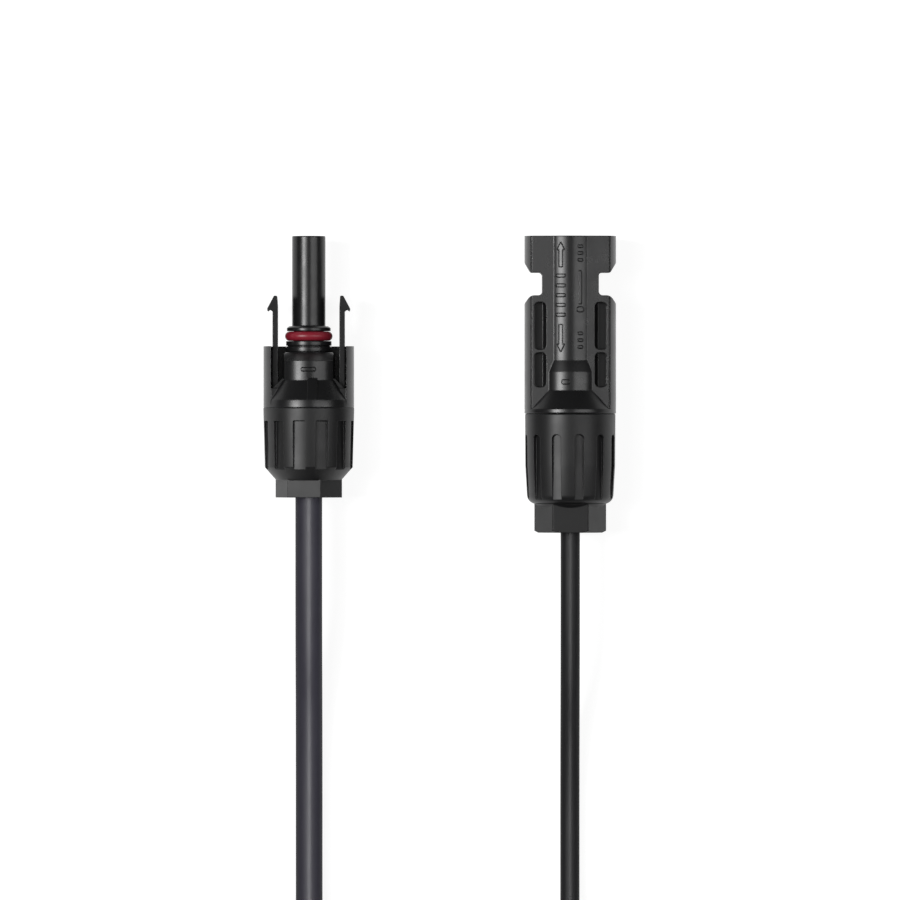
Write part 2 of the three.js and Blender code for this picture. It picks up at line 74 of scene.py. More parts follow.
VIEW_WIDTH = 184.5  # of floor, in the frame, at the height of the axes
CAMERA_HEIGHT = 2500.0

camera_data = bpy.data.cameras.new("camera")
camera_data.sensor_width = 36
camera_data.lens = 36 * CAMERA_HEIGHT / VIEW_WIDTH
camera_data.clip_end = 100
camera = bpy.data.objects.new("camera", camera_data)
camera.location = (0.00215, -0.01346, (AXIS_Z + CAMERA_HEIGHT) / 1000)
scene.collection.objects.link(camera)
scene.camera = camera

# ---- Shading -------------------------------------------------------------------------------------

SMOOTHEST = math.radians(9)  # the turn between two facets of a rounding
SHARP = math.radians(10)  # edges sharper than this stay crisp
BUNDLE = math.radians(60)  # the same for thin round strands

# ---- Outlines ------------------------------------------------------------------------------------


def filleted(points, closed=False):
    """The outline through points, each (a, b) or (a, b, radius), with its corners rounded to those radii."""
    rounded = []
    for i, point in enumerate(points):
        corner = Vector(point[:2])
        radius = point[2] if len(point) > 2 else 0
        if radius == 0 or (not closed and i in (0, len(points) - 1)):
            rounded.append(tuple(corner))
            continue
        before = (Vector(points[i - 1][:2]) - corner).normalized()
        after = (Vector(points[(i + 1) % len(points)][:2]) - corner).normalized()
        half = before.angle(after) / 2
        steps = max(2, math.ceil((math.pi - 2 * half) / SMOOTHEST))
        start = corner + before * radius / math.tan(half)
        end = corner + after * radius / math.tan(half)
        centre = corner + (before + after).normalized() * radius / math.sin(half)
        for k in range(steps + 1):
            spoke = (start - centre).slerp(end - centre, k / steps).normalized()
            rounded.append(tuple(centre + spoke * radius))
    return rounded


def rectangle(a_low, a_high, b_low, b_high, radius=0.0):
    corners = [(a_low, b_low), (a_high, b_low), (a_high, b_high), (a_low, b_high)]
    return filleted([(a, b, radius) for a, b in corners], closed=True)


def subdivided(points, step):
    """A closed outline with extra points, so that no edge is longer than step."""
    fine = []
    for a, b in zip(points, points[1:] + points[:1]):
        a, b = Vector(a), Vector(b)
        count = max(1, math.ceil((b - a).length / step))
        fine.extend(tuple(a.lerp(b, k / count)) for k in range(count))
    return fine


# ---- Solids --------------------------------------------------------------------------------------


def solid(name, vertices, faces, place=MIDDLE):
    mesh = bpy.data.meshes.new(name)
    mesh.from_pydata([tuple(Vector(v) + place) for v in vertices], [], faces)
    bm = bmesh.new()
    bm.from_mesh(mesh)
    bmesh.ops.recalc_face_normals(bm, faces=bm.faces)
    bm.to_mesh(mesh)
    bm.free()
    made = bpy.data.objects.new(name, mesh)
    scene.collection.objects.link(made)
    return made


def turned(name, profile, place, segments=144):
    """Turned about y from (radius, y) points: from axis to axis, or round a closed section."""
    on_axis = profile[0][0] == 0 and profile[-1][0] == 0
    rings = profile[1:-1] if on_axis else profile
    vertices = []
    for r, y in rings:
        for k in range(segments):
            angle = 2 * math.pi * k / segments
            vertices.append((r * math.sin(angle), y, r * math.cos(angle)))
    faces = []
    last = len(rings) - 1
    for i in range(last if on_axis else len(rings)):
        low = i * segments
        high = (i + 1) % len(rings) * segments
        for k in range(segments):
            m = (k + 1) % segments
            faces.append((low + k, low + m, high + m, high + k))
    if on_axis:
        faces.append(tuple(range(segments)))
        faces.append(tuple(last * segments + k for k in reversed(range(segments))))
    return solid(name, vertices, faces, place)


def prism(name, outline, low, high, place, along="z"):
    """A closed outline carried straight from low to high. along z it is (x, y), and along y it is (x, z)."""
    turn = {"z": lambda a, b, c: (a, b, c), "y": lambda a, b, c: (a, c, b)}[along]
    count = len(outline)
    vertices = [turn(a, b, c) for c in (low, high) for a, b in outline]
    faces = [tuple(range(count)), tuple(range(count, 2 * count))]
    faces += [(k, (k + 1) % count, count + (k + 1) % count, count + k) for k in range(count)]
    return solid(name, vertices, faces, place)


def block(x_low, x_high, y_low, y_high, z_low, z_high, place):
    return prism("block", rectangle(x_low, x_high, y_low, y_high), z_low, z_high, place)


def disc(radius, y_back, y_front, place):
    return turned("disc", [(0, y_back), (radius, y_back), (radius, y_front), (0, y_front)], place)


def hexagon(across_corners, y_back, y_front, degrees, place):
    """About y. At 0 degrees one flat faces up."""
    outline = []
    for k in range(6):
        angle = math.radians(30 + degrees + 60 * k)
        outline.append((across_corners / 2 * math.sin(angle), across_corners / 2 * math.cos(angle)))
    return prism("hexagon", outline, y_back, y_front, place, along="y")


def joined(parts):
    """Several solids as one object, without merging what overlaps."""
    bm = bmesh.new()
    for part in parts:
        bm.from_mesh(part.data)
        if part is not parts[0]:
            bpy.data.objects.remove(part)
    bm.to_mesh(parts[0].data)
    bm.free()
    return parts[0]


def turned_about_axis(part, degrees, place):
    """A copy of part, turned about the y axis through place."""
    copy = part.copy()
    copy.data = part.data.copy()
    scene.collection.objects.link(copy)
    spin = Matrix.Rotation(math.radians(degrees), 4, "Y")
    turn = Matrix.Translation(place) @ spin @ Matrix.Translation(-place)
    copy.data.transform(turn)
    return copy


def mirrored(part, place):
    """part and its copy on the other side of the plane x = 0 through place."""
    copy = part.copy()
    copy.data = part.data.copy()
    scene.collection.objects.link(copy)
    across = Matrix.Translation(place) @ Matrix.Diagonal((-1, 1, 1, 1)) @ Matrix.Translation(-place)
    copy.data.transform(across)
    copy.data.flip_normals()
    return joined([part, copy])


def combined(base, tool, operation):
    """base after a boolean with tool: UNION, DIFFERENCE or INTERSECT."""
    modifier = base.modifiers.new("boolean", "BOOLEAN")
    modifier.operation = operation
    modifier.solver = "MANIFOLD"
    modifier.object = tool
    bpy.context.view_layer.update()
    evaluated = base.evaluated_get(bpy.context.evaluated_depsgraph_get())
    mesh = bpy.data.meshes.new_from_object(evaluated)
    base.modifiers.clear()
    base.data = mesh
    bpy.data.objects.remove(tool)
    return base


def united(base, *tools):
    for tool in tools:
        combined(base, tool, "UNION")
    return base


def cut(base, *tools):
    for tool in tools:
        combined(base, tool, "DIFFERENCE")
    return base


def common(base, tool):
    return combined(base, tool, "INTERSECT")


def tube(name, path, radius, sides=24, end_round=0.0):
    """A round tube along close points, with its ends rounded off if asked."""
    points = [Vector(p) for p in path]
    radii = [radius] * len(points)
    if end_round:
        for end, inward in ((0, 1), (-1, -1)):
            direction = (points[end] - points[end + inward]).normalized()
            base = points[end] - direction * end_round
            extra = []
            for k in range(5):
                angle = math.pi / 2 * k / 4
                ahead = direction * end_round * math.sin(angle)
                extra.append((base + ahead, radius - end_round * (1 - math.cos(angle))))
            points[end] = extra[0][0]
            added = [p for p, _ in extra[1:]]
            sizes = [r for _, r in extra[1:]]
            if end == 0:
                points = added[::-1] + points
                radii = sizes[::-1] + radii
            else:
                points = points + added
                radii = radii + sizes
    vertices = []
    tangent = (points[1] - points[0]).normalized()
    normal = tangent.orthogonal().normalized()
    for i, point in enumerate(points):
        ahead = points[min(i + 1, len(points) - 1)]
        behind = points[max(i - 1, 0)]
        heading = (ahead - behind).normalized()
        normal = (normal - heading * normal.dot(heading)).normalized()
        other = heading.cross(normal)
        for k in range(sides):
            angle = 2 * math.pi * k / sides
            vertices.append(point + (normal * math.cos(angle) + other * math.sin(angle)) * radii[i])
    faces = []
    for i in range(len(points) - 1):
        for k in range(sides):
            m = (k + 1) % sides
            faces.append((i * sides + k, i * sides + m, (i + 1) * sides + m, (i + 1) * sides + k))
    faces.append(tuple(range(sides)))
    faces.append(tuple((len(points) - 1) * sides + k for k in reversed(range(sides))))
    return solid(name, vertices, faces)


# ---- Materials -----------------------------------------------------------------------------------


def shader(name, color, roughness, metallic=0.0, ior=1.5):
    """A Principled material with its constant values set on the shader, its nodes, links and shader node."""
    made = bpy.data.materials.new(name)
    made.use_nodes = True
    nodes, links = made.node_tree.nodes, made.node_tree.links
    surface = nodes["Principled BSDF"]
    surface.inputs["Base Color"].default_value = (*color, 1)
    surface.inputs["Roughness"].default_value = roughness
    surface.inputs["Metallic"].default_value = metallic
    surface.inputs["IOR"].default_value = ior
    return made, nodes, links, surface


def speckle(nodes, links, scale, detail=4.0):
    """Noise over the object's own coordinates, which are metres in the row frame."""
    where = nodes.new("ShaderNodeTexCoord")
    noise = nodes.new("ShaderNodeTexNoise")
    noise.inputs["Scale"].default_value = scale
    noise.inputs["Detail"].default_value = detail
    links.new(where.outputs["Object"], noise.inputs["Vector"])
    return noise.outputs["Fac"]


def ramped(nodes, links, source, low, high):
    """source, which runs from 0 to 1, stretched from low to high."""
    spread = nodes.new("ShaderNodeMapRange")
    spread.inputs["From Min"].default_value = 0.3
    spread.inputs["From Max"].default_value = 0.7
    spread.inputs["To Min"].default_value = low
    spread.inputs["To Max"].default_value = high
    links.new(source, spread.inputs["Value"])
    return spread.outputs["Result"]


def moulded(name, color, roughness, grain=0.02, edge=0.12, scuff=0.03, ior=1.5):
    """Moulded plastic or rubber: a fine grain, patchy gloss, slight tone changes and soft edges."""
    made, nodes, links, surface = shader(name, color, roughness, ior=ior)
    patches = speckle(nodes, links, 260)
    gloss = ramped(nodes, links, patches, roughness - scuff, roughness + scuff)
    links.new(gloss, surface.inputs["Roughness"])
    tone = nodes.new("ShaderNodeMix")
    tone.data_type = "RGBA"
    tone.inputs["A"].default_value = (*[c * 0.85 for c in color], 1)
    tone.inputs["B"].default_value = (*[c * 1.15 for c in color], 1)
    links.new(speckle(nodes, links, 90, 3), tone.inputs["Factor"])
    links.new(tone.outputs["Result"], surface.inputs["Base Color"])
    bump = nodes.new("ShaderNodeBump")
    bump.inputs["Strength"].default_value = grain
    bump.inputs["Distance"].default_value = 0.0001
    links.new(speckle(nodes, links, 5000, 2), bump.inputs["Height"])
    soft = nodes.new("ShaderNodeBevel")
    soft.samples = 6
    soft.inputs["Radius"].default_value = edge / 1000
    links.new(soft.outputs["Normal"], bump.inputs["Normal"])
    links.new(bump.outputs["Normal"], surface.inputs["Normal"])
    return made


def metal(name, color, roughness):
    """Plated metal with fine drawing marks along its length and slight tarnish."""
    made, nodes, links, surface = shader(name, color, roughness, metallic=1.0)
    links.new(ramped(nodes, links, speckle(nodes, links, 900), roughness - 0.06, roughness + 0.1),
              surface.inputs["Roughness"])
    tone = nodes.new("ShaderNodeMix")
    tone.data_type = "RGBA"
    tone.inputs["A"].default_value = (*[c * 0.8 for c in color], 1)
    tone.inputs["B"].default_value = (*color, 1)
    links.new(speckle(nodes, links, 400), tone.inputs["Factor"])
    links.new(tone.outputs["Result"], surface.inputs["Base Color"])
    return made


def woven(name, color):
    """Hook-and-loop tape: a fuzzy two-way weave."""
    made, nodes, links, surface = shader(name, color, 0.9)
    where = nodes.new("ShaderNodeTexCoord")
    threads = []
    for direction in ("X", "Y"):
        wave = nodes.new("ShaderNodeTexWave")
        wave.bands_direction = direction
        wave.inputs["Scale"].default_value = 700
        wave.inputs["Distortion"].default_value = 1.5
        links.new(where.outputs["Object"], wave.inputs["Vector"])
        threads.append(wave.outputs["Fac"])
    both = nodes.new("ShaderNodeMath")
    both.operation = "MULTIPLY"
    links.new(threads[0], both.inputs[0])
    links.new(threads[1], both.inputs[1])
    bump = nodes.new("ShaderNodeBump")
    bump.inputs["Strength"].default_value = 0.6
    bump.inputs["Distance"].default_value = 0.0002
    links.new(both.outputs["Value"], bump.inputs["Height"])
    links.new(bump.outputs["Normal"], surface.inputs["Normal"])
    tone = nodes.new("ShaderNodeMix")
    tone.data_type = "RGBA"
    tone.inputs["A"].default_value = (*[c * 0.6 for c in color], 1)
    tone.inputs["B"].default_value = (*[c * 1.3 for c in color], 1)
    links.new(both.outputs["Value"], tone.inputs["Factor"])
    links.new(tone.outputs["Result"], surface.inputs["Base Color"])
    return made


MATERIALS = {
    "housing_plastic": moulded("housing_plastic", (0.008, 0.008, 0.0084), 0.29, edge=0.25, ior=1.38),
    "nut_plastic": moulded("nut_plastic", (0.008, 0.008, 0.0084), 0.42, edge=0.25, ior=1.38),
    "cage_plastic": moulded("cage_plastic", (0.33, 0.34, 0.35), 0.45),
    "ring_rubber": moulded("ring_rubber", (0.21, 0.012, 0.024), 0.36, edge=0.05, ior=1.45),
    "seal_rubber": moulded("seal_rubber", (0.03, 0.03, 0.03), 0.7, grain=0.05),
    "contact_metal": metal("contact_metal", (0.72, 0.73, 0.75), 0.25),
    "spring_metal": metal("spring_metal", (0.76, 0.58, 0.28), 0.3),
    "strand_metal": metal("strand_metal", (0.78, 0.79, 0.80), 0.3),
    "insulation_plastic": moulded("insulation_plastic", (0.7, 0.7, 0.68), 0.5, edge=0.05),
    "thick_jacket": moulded("thick_jacket", (0.0044, 0.0042, 0.0056), 0.42, grain=0.03, edge=0.02, ior=1.15),
    "thin_jacket": moulded("thin_jacket", (0.0035, 0.0035, 0.0037), 0.42, grain=0.03, edge=0.02, ior=1.15),
    "strap_fabric": woven("strap_fabric", (0.05, 0.05, 0.055)),
}


def finished(made, name, look, sharp=SHARP):
    """made in metres, smooth between its real edges, with its name and its material."""
    made.name = name
    made.data.name = name
    made.data.transform(Matrix.Scale(0.001, 4))
    made.data.materials.clear()
    made.data.materials.append(MATERIALS[look])
    for face in made.data.polygons:
        face.use_smooth = True
    made.data.set_sharp_from_angle(angle=sharp)
    return made


def piece(made, name, look, body, *nodes, sharp=SHARP):
    finished(made, name, look, sharp)
    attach(made, body)
    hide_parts(*nodes)
    return made


# ---- The cable gland, the same design on both halves ---------------------------------------------
# Everything here is placed from the back face of the collar, at y = collar.

CREST_R = 7.5
ROOT_R = 6.95
PITCH = 2.0
TAIL_LENGTH = 9.4
TAIL_BORE_R = 6.2
CONTACT_R = 2.55
CONTACT_BORE_R = 2.7
CAVITY_R = 4.2
FLANGE_FRONT = 8.6
FLANGE_BACK = 7.6
BARREL_BACK = 1.6
BARREL_R = 2.3
NUT_BORE_R = CREST_R + GAP
CONE_FRONT = 11.0
CONE_BACK = 15.0
CONE_FRONT_R = 6.6
CONE_BACK_R = 5.0
SEAL_R = 4.4
CAGE_BORE_R = 4.55
JACKET_START = -1.0


def tail_and_bore(collar):
    """The back of a housing's section: the threaded tail's root, its bore and the contact's chamber."""
    return [
        (ROOT_R, collar, 0.15),
        (ROOT_R, collar - TAIL_LENGTH + 0.5),
        (ROOT_R - 0.4, collar - TAIL_LENGTH),
        (TAIL_BORE_R + 0.15, collar - TAIL_LENGTH),
        (TAIL_BORE_R, collar - TAIL_LENGTH + 0.3),
        (TAIL_BORE_R, collar),
        (CAVITY_R, collar + 0.8),
        (CAVITY_R, collar + 11.0),
        (CONTACT_BORE_R, collar + 11.0),
    ]


def thread(root_r, crest_r, y_front, turns, place, start_degrees=0.0):
    """The ridge of a right-hand screw thread on root_r, rising to crest_r, which may be the smaller."""
    steps_per_turn = 60
    steps = round(turns * steps_per_turn)
    inward = 0.06 if crest_r > root_r else -0.06
    section = [
        (root_r - inward, -0.62), (crest_r, -0.2), (crest_r, 0.2), (root_r - inward, 0.62),
    ]
    vertices = []
    for i in range(steps + 1):
        angle = math.radians(start_degrees) - 2 * math.pi * i / steps_per_turn
        y = y_front - PITCH * i / steps_per_turn
        fade = min(1, i / 15, (steps - i) / 15)  # the ridge runs out at both ends
        for r, offset in section:
            height = root_r - inward + (r - root_r + inward) * fade
            vertices.append((height * math.sin(angle), y + offset, height * math.cos(angle)))
    faces = [(0, 1, 2, 3)]
    for i in range(steps):
        for k in range(4):
            m = (k + 1) % 4
            faces.append((4 * i + k, 4 * i + m, 4 * i + 4 + m, 4 * i + 4 + k))
    faces.append((4 * steps + 3, 4 * steps + 2, 4 * steps + 1, 4 * steps))
    return solid("thread", vertices, faces, place)


def gland_seal(prefix, collar, cable, body, place):
    """A rubber sleeve on the cable, with ribs round it."""
    inner = cable["jacket"] + 0.02
    front = collar - 1.5
    back = collar - 12.5
    points = [(inner, front), (SEAL_R - 0.3, front, 0.2)]
    ribs = 7
    pitch = (front - back) / ribs
    for k in range(ribs):
        y = front - pitch * (k + 0.5)
        points += [(SEAL_R - 0.35, y + pitch * 0.45, 0.15), (SEAL_R, y + pitch * 0.2, 0.15)]
        points += [(SEAL_R, y - pitch * 0.2, 0.15), (SEAL_R - 0.35, y - pitch * 0.45, 0.15)]
    points += [(SEAL_R - 0.3, back, 0.2), (inner, back)]
    made = turned("seal", filleted(points), place, 96)
    return piece(made, prefix + "_gland_seal.detail", "seal_rubber", body, prefix + "_gland_seal")


def clamp_cage(prefix, collar, body, place):
    """A sleeve in the tail, a flange behind it, and eight fingers that the nut's cone closes."""
    sleeve_r = TAIL_BORE_R - 0.2
    flange_front = collar - TAIL_LENGTH - GAP
    flange_back = flange_front - 0.8
    tip = collar - 14.0
    profile = filleted([
        (CAGE_BORE_R, collar - 5.0),
        (sleeve_r, collar - 5.0, 0.3),
        (sleeve_r, flange_front),
        (6.9, flange_front, 0.15),
        (6.9, flange_back, 0.15),
        (CONE_FRONT_R - 0.4, flange_back, 0.2),
        (CONE_FRONT_R - 0.4, collar - CONE_FRONT, 0.6),
        (5.05, tip, 0.15),
        (CAGE_BORE_R, tip),
    ])
    cage = turned("cage", profile, place, 96)
    slot = block(-0.45, 0.45, tip - 1, flange_back - 0.4, -8, 8, place)
    for k in range(4):
        cut(cage, turned_about_axis(slot, 45 * k, place))
    bpy.data.objects.remove(slot)
    return piece(cage, prefix + "_clamp_cage.detail", "cage_plastic", body, prefix + "_clamp_cage")


def nut_hollow(collar, back, hole_r, place):
    profile = filleted([
        (0, collar + 1),
        (NUT_BORE_R + 0.15, collar + 1),
        (NUT_BORE_R + 0.15, collar - 0.5),
        (NUT_BORE_R, collar - 0.8),
        (NUT_BORE_R, collar - CONE_FRONT, 0.2),
        (CONE_FRONT_R, collar - CONE_FRONT, 0.2),
        (CONE_BACK_R, collar - CONE_BACK, 0.3),
        (hole_r, collar - CONE_BACK, 0.2),
        (hole_r, back + 0.4, 0.3),
        (hole_r + 0.4, back, 0.0),
        (hole_r + 0.4, back - 1),
        (0, back - 1),
    ])
    return turned("hollow", profile, place, 96)


def ribbed(nut, groove, floor_r, first_degrees, place):
    """nut with twelve grip grooves, each the shape of groove down to a round floor."""
    cut(groove, disc(floor_r, -70, 10, place))
    copies = [turned_about_axis(groove, first_degrees + 30 * k, place) for k in range(12)]
    bpy.data.objects.remove(groove)
    return cut(nut, joined(copies))


def contact_clip(prefix, collar, body, place):
    inner = CONTACT_BORE_R
    profile = filleted([
        (inner, collar + 10.6),
        (inner + 0.3, collar + 10.6, 0.1),
        (3.9, collar + 9.1, 0.1),
        (3.7, collar + 8.9, 0.1),
        (inner, collar + 9.7),
    ])
    clip = turned("clip", profile, place, 72)
    for degrees in (0, 60, 120):
        slit = block(-0.4, 0.4, collar + 8, collar + 9.9, -6, 6, place)
        copy = turned_about_axis(slit, degrees, place)
        bpy.data.objects.remove(slit)
        cut(clip, copy)
    return piece(clip, prefix + "_contact_clip.detail", "spring_metal", body, prefix + "_contact_clip")


def contact_tail(collar, cable):
    """Flange, crimp barrel and wire bore at the back of a contact."""
    bore = cable["conductor"] + 0.15
    return [
        (CONTACT_R, collar + FLANGE_FRONT),
        (3.4, collar + FLANGE_FRONT, 0.12),
        (3.4, collar + FLANGE_BACK, 0.12),
        (BARREL_R, collar + FLANGE_BACK, 0.1),
        (BARREL_R, collar + 5.4, 0.3),
        (BARREL_R - 0.25, collar + 5.0, 0.3),  # waist left by the crimping tool
        (BARREL_R - 0.25, collar + 3.6, 0.3),
        (BARREL_R, collar + 3.2, 0.3),
        (BARREL_R, collar + BARREL_BACK, 0.15),
        (bore, collar + BARREL_BACK, 0.1),
        (bore, collar + FLANGE_BACK - 0.6),
        (0, collar + FLANGE_BACK - 0.6),
    ]


def strands(name, start, end, radius):
    """Nineteen tinned strands in two twisted layers about a straight core, as one bundle."""
    start, end = Vector(start), Vector(end)
    along = end - start
    side = along.orthogonal().normalized()
    up = along.normalized().cross(side)
    strand_r = radius / 5
    parts = []
    steps = 16
    for ring, count in ((0, 1), (1, 6), (2, 12)):
        for k in range(count):
            path = []
            for i in range(steps + 1):
                angle = 2 * math.pi * (k / count + 0.35 * i / steps)
                offset = (side * math.cos(angle) + up * math.sin(angle)) * ring * strand_r * 2
                path.append(start + along * i / steps + offset)
            parts.append(tube(name, path, strand_r * 1.02, 8, end_round=strand_r * 0.4))
    return joined(parts)


def stripped_end(prefix, collar, cable, body, place):
    """Conductor and insulation between the jacket and the contact's barrel."""
    stripped = collar + JACKET_START + 0.02
    front = Vector((0, collar + FLANGE_BACK - 0.9, 0)) + place
    back = Vector((0, stripped, 0)) + place
    wire = strands("wire", back, front, cable["conductor"])
    piece(wire, prefix + "_conductor.detail", "strand_metal", body, prefix + "_conductor", sharp=BUNDLE)
    sleeve = turned("sleeve", filleted([
        (cable["conductor"] + 0.05, collar + BARREL_BACK - GAP),
        (cable["insulation"], collar + BARREL_BACK - GAP, 0.1),
        (cable["insulation"], stripped),
        (cable["conductor"] + 0.05, stripped),
    ]), place, 48)
    name = prefix + "_wire_insulation"
    piece(sleeve, name + ".detail", "insulation_plastic", body, name)


def raised_marks(outlines, radius, place, height=0.25):
    """Plan outlines as low raised marks on a cylinder of that radius, front and back faces left plain."""
    marks = joined([prism("mark", outline, 4.0, 9.0, place) for outline in outlines])
    return common(marks, disc(radius + height, -62, 2, place))


# ---- Plug half: y = 0 at the shoulder ------------------------------------------------------------

NOSE_R = 3.42
PLUG_R = 9.3
WING_X = 7.7
SLOT_FLOOR = -8.6
FINGER_INNER = 6.3
FINGER_OUTER = WING_X - GAP


def plug_housing():
    at = PLUG_PLACE
    seat_r = 4.675
    groove_r = 3.1
    core_r = 5.3
    boss_r = 7.2
    core = turned("plug", filleted([
        (CONTACT_BORE_R - 0.4, NOSE_LENGTH, 0.1),
        (NOSE_R, NOSE_LENGTH, 0.18),
        (NOSE_R, 4.1, 0.15),
        (4.0, 4.1),
        (4.5, 3.75, 0.1),
        (4.5, 3.1, 0.08),
        (groove_r, 3.1),
        (groove_r, 1.05),
        (seat_r, 1.05, 0.1),
        (seat_r, 0.14, 0.08),
        (seat_r - 0.3, 0.14),
        (seat_r - 0.3, -0.14),
        (seat_r, -0.14, 0.08),
        (seat_r, -1.1, 0.08),
        (4.2, -1.1),
        (4.35, -1.4),
        (core_r, -2.0),
        (core_r, -10.9),
        (PLUG_R - 0.1, -10.9, 0.15),
        (PLUG_R, PLUG_COLLAR, 0.1),
        *tail_and_bore(PLUG_COLLAR),
        (CONTACT_BORE_R, NOSE_LENGTH - 1.0),
        (CONTACT_BORE_R - 0.4, NOSE_LENGTH - 1.0),
    ], closed=True), at)
    boss = common(
        turned("boss", [(0, -7), (boss_r, -7), (boss_r, -3.0), (4.9, -1.25), (0, -1.25)], at),
        block(-5.1, 5.1, -7, -1.0, -8, 8, at),
    )
    cone_points = [(0, -12), (9.15, -12), (9.15, -10.9), (boss_r - 0.25, -6.5), (0, -6.5)]
    flat_z = 5.1
    cone_tops = cut(turned("cone", cone_points, at), block(-10, 10, -13, 0, -flat_z, flat_z, at))
    neck = common(turned("neck", cone_points, at), block(-5.1, 5.1, -12, -5, -8, 8, at))
    cone = united(neck, cone_tops)
    back_block = block(-WING_X - 0.2, WING_X + 0.2, -12, SLOT_FLOOR, -flat_z, flat_z, at)
    rib_points = [(0, -11), (PLUG_R, -11), (boss_r + 0.25, -6.6), (0, -6.6)]
    rib = common(turned("rib", rib_points, at), block(-0.2, 1.8, -11, -6.6, -10, 10, at))
    wings = mirrored(block(WING_X, 10, PLUG_COLLAR + 0.05, 0, -6, 6, at), at)
    web = block(-8.5, 8.5, -9.5, 0, -5.2, -3.7, at)
    brace_outline = [(4.9, -6.6), (5.4, -6.6), (7.9, -9.2), (7.9, -10), (6.8, -10)]
    braces = mirrored(prism("brace", brace_outline, -5.0, 4.6, at), at)
    slots = mirrored(block(FINGER_INNER - 0.3, WING_X, SLOT_FLOOR, 1, -3.4, 3.4, at), at)
    braces = cut(braces, slots)
    walls = united(boss, cone, back_block, rib, wings, web, braces)
    walls = common(walls, disc(PLUG_R - 0.02, PLUG_COLLAR + 0.1, 0, at))
    walls = cut(walls, disc(4.4, PLUG_COLLAR, 0.5, at))
    made = united(core, walls)
    bar = raised_marks([rectangle(-1.5, 1.5, -5.1, -4.4, 0.3)], boss_r, at)
    screw = thread(ROOT_R, CREST_R, PLUG_COLLAR - 0.9, 3.9, at)
    whole = joined([made, bar, screw])
    return piece(whole, "plug_housing.detail", "housing_plastic", "plug", "plug_housing")


def latch_fingers():
    """Two strips that grow out of the housing. Each ends in a barb with a square ledge."""
    at = PLUG_PLACE
    tip = 10.35
    ledge = 7.2
    outline = filleted([
        (FINGER_INNER - 0.1, SLOT_FLOOR - 0.05),
        (FINGER_OUTER, SLOT_FLOOR - 0.05),
        (FINGER_OUTER, ledge - 0.1, 0.15),
        (FINGER_OUTER + 0.45, ledge + 0.25, 0.15),
        (8.4, ledge - 0.1, 0.08),
        (8.5, ledge + 0.5, 0.2),
        (FINGER_INNER + 0.8, tip, 0.3),
        (FINGER_INNER + 0.15, tip, 0.25),
        (FINGER_INNER, ledge + 1.0),
        (FINGER_INNER, -4.0),
    ], closed=True)
    for side, name in ((1, "right"), (-1, "left")):
        mirrored_outline = [(side * x, y) for x, y in subdivided(outline, 0.5)]
        finger = prism("finger", mirrored_outline, -3.0, 3.0, at)
        finished(finger, "plug_latch_" + name + ".detail", "housing_plastic")
        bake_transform(finger)
        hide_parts("plug_latch_" + name)


def sealing_ring():
    points = []
    for k in range(48):
        angle = 2 * math.pi * k / 48
        points.append((4.01 + 0.86 * math.cos(angle), 2.07 + 0.95 * math.sin(angle)))
    piece(turned("ring", points, PLUG_PLACE), "plug_o_ring.detail", "ring_rubber", "plug", "plug_o_ring")


def socket_contact():
    bore = 2.25
    profile = filleted([
        (0, 5.0),
        (bore, 5.0),
        (bore, 9.0),
        (bore + 0.15, 9.0),
        (bore + 0.15, 17.0),
        (bore, 17.0),
        (bore, 21.3, 0.1),
        (CONTACT_R, 21.3, 0.1),
        *contact_tail(PLUG_COLLAR, THICK),
    ])
    socket = turned("socket", profile, PLUG_PLACE, 72)
    piece(socket, "plug_socket_contact.detail", "contact_metal", "plug", "plug_socket_contact")


def lamella_band():
    """The slotted spring band in the socket, waisted so that it grips the pin."""
    front, back = 16.8, 9.2
    middle = (front + back) / 2
    outer = 2.33
    profile = [(outer, front), (outer - 0.16, middle), (outer, back)]
    profile += [(outer - 0.12, back), (outer - 0.28, middle), (outer - 0.12, front)]
    band = turned("band", profile, PLUG_PLACE, 72)
    slot = block(-0.2, 0.2, back + 1, front - 1, 0, 4, PLUG_PLACE)
    copies = [turned_about_axis(slot, 30 * k, PLUG_PLACE) for k in range(12)]
    bpy.data.objects.remove(slot)
    cut(band, joined(copies))
    piece(band, "plug_contact_spring.detail", "spring_metal", "plug", "plug_contact_spring")


def plug_nut():
    at = PLUG_PLACE
    front = PLUG_COLLAR - SEAM
    barrel = turned("nut", filleted([
        (0, front),
        (9.32, front, 0.15),
        (9.0, -24.8, 0.15),
        (6.7, -27.4),
        (0, -27.4),
    ]), at)
    made = united(barrel, hexagon(13.8, PLUG_NUT_BACK, -26.9, -9, at))
    groove = prism("groove", rectangle(-1.25, 1.25, -28, -15.3, 0.2), 7, 11, at)
    ribbed(made, groove, 8.6, -12, at)
    cut(made, nut_hollow(PLUG_COLLAR, PLUG_NUT_BACK, 2.95, at))
    screw = thread(NUT_BORE_R + 0.02, 7.15, PLUG_COLLAR - 1.9, 3.9, at)
    piece(joined([made, screw]), "plug_gland_nut.detail", "nut_plastic", "plug_nut", "plug_gland_nut")


# ---- Receptacle half: y = 0 at the mouth ---------------------------------------------------------

BODY_R = 9.4
TUBE_R = 6.57
NECK_X = 5.8


def arrow(x, y_tail, y_tip, half_shaft, half_head):
    """A plain arrow outline along y."""
    way = 1 if y_tip > y_tail else -1
    neck = y_tip - way * 1.6
    return [
        (x - half_shaft, y_tail), (x + half_shaft, y_tail), (x + half_shaft, neck), (x + half_head, neck),
        (x, y_tip), (x - half_head, neck), (x - half_shaft, neck),
    ]


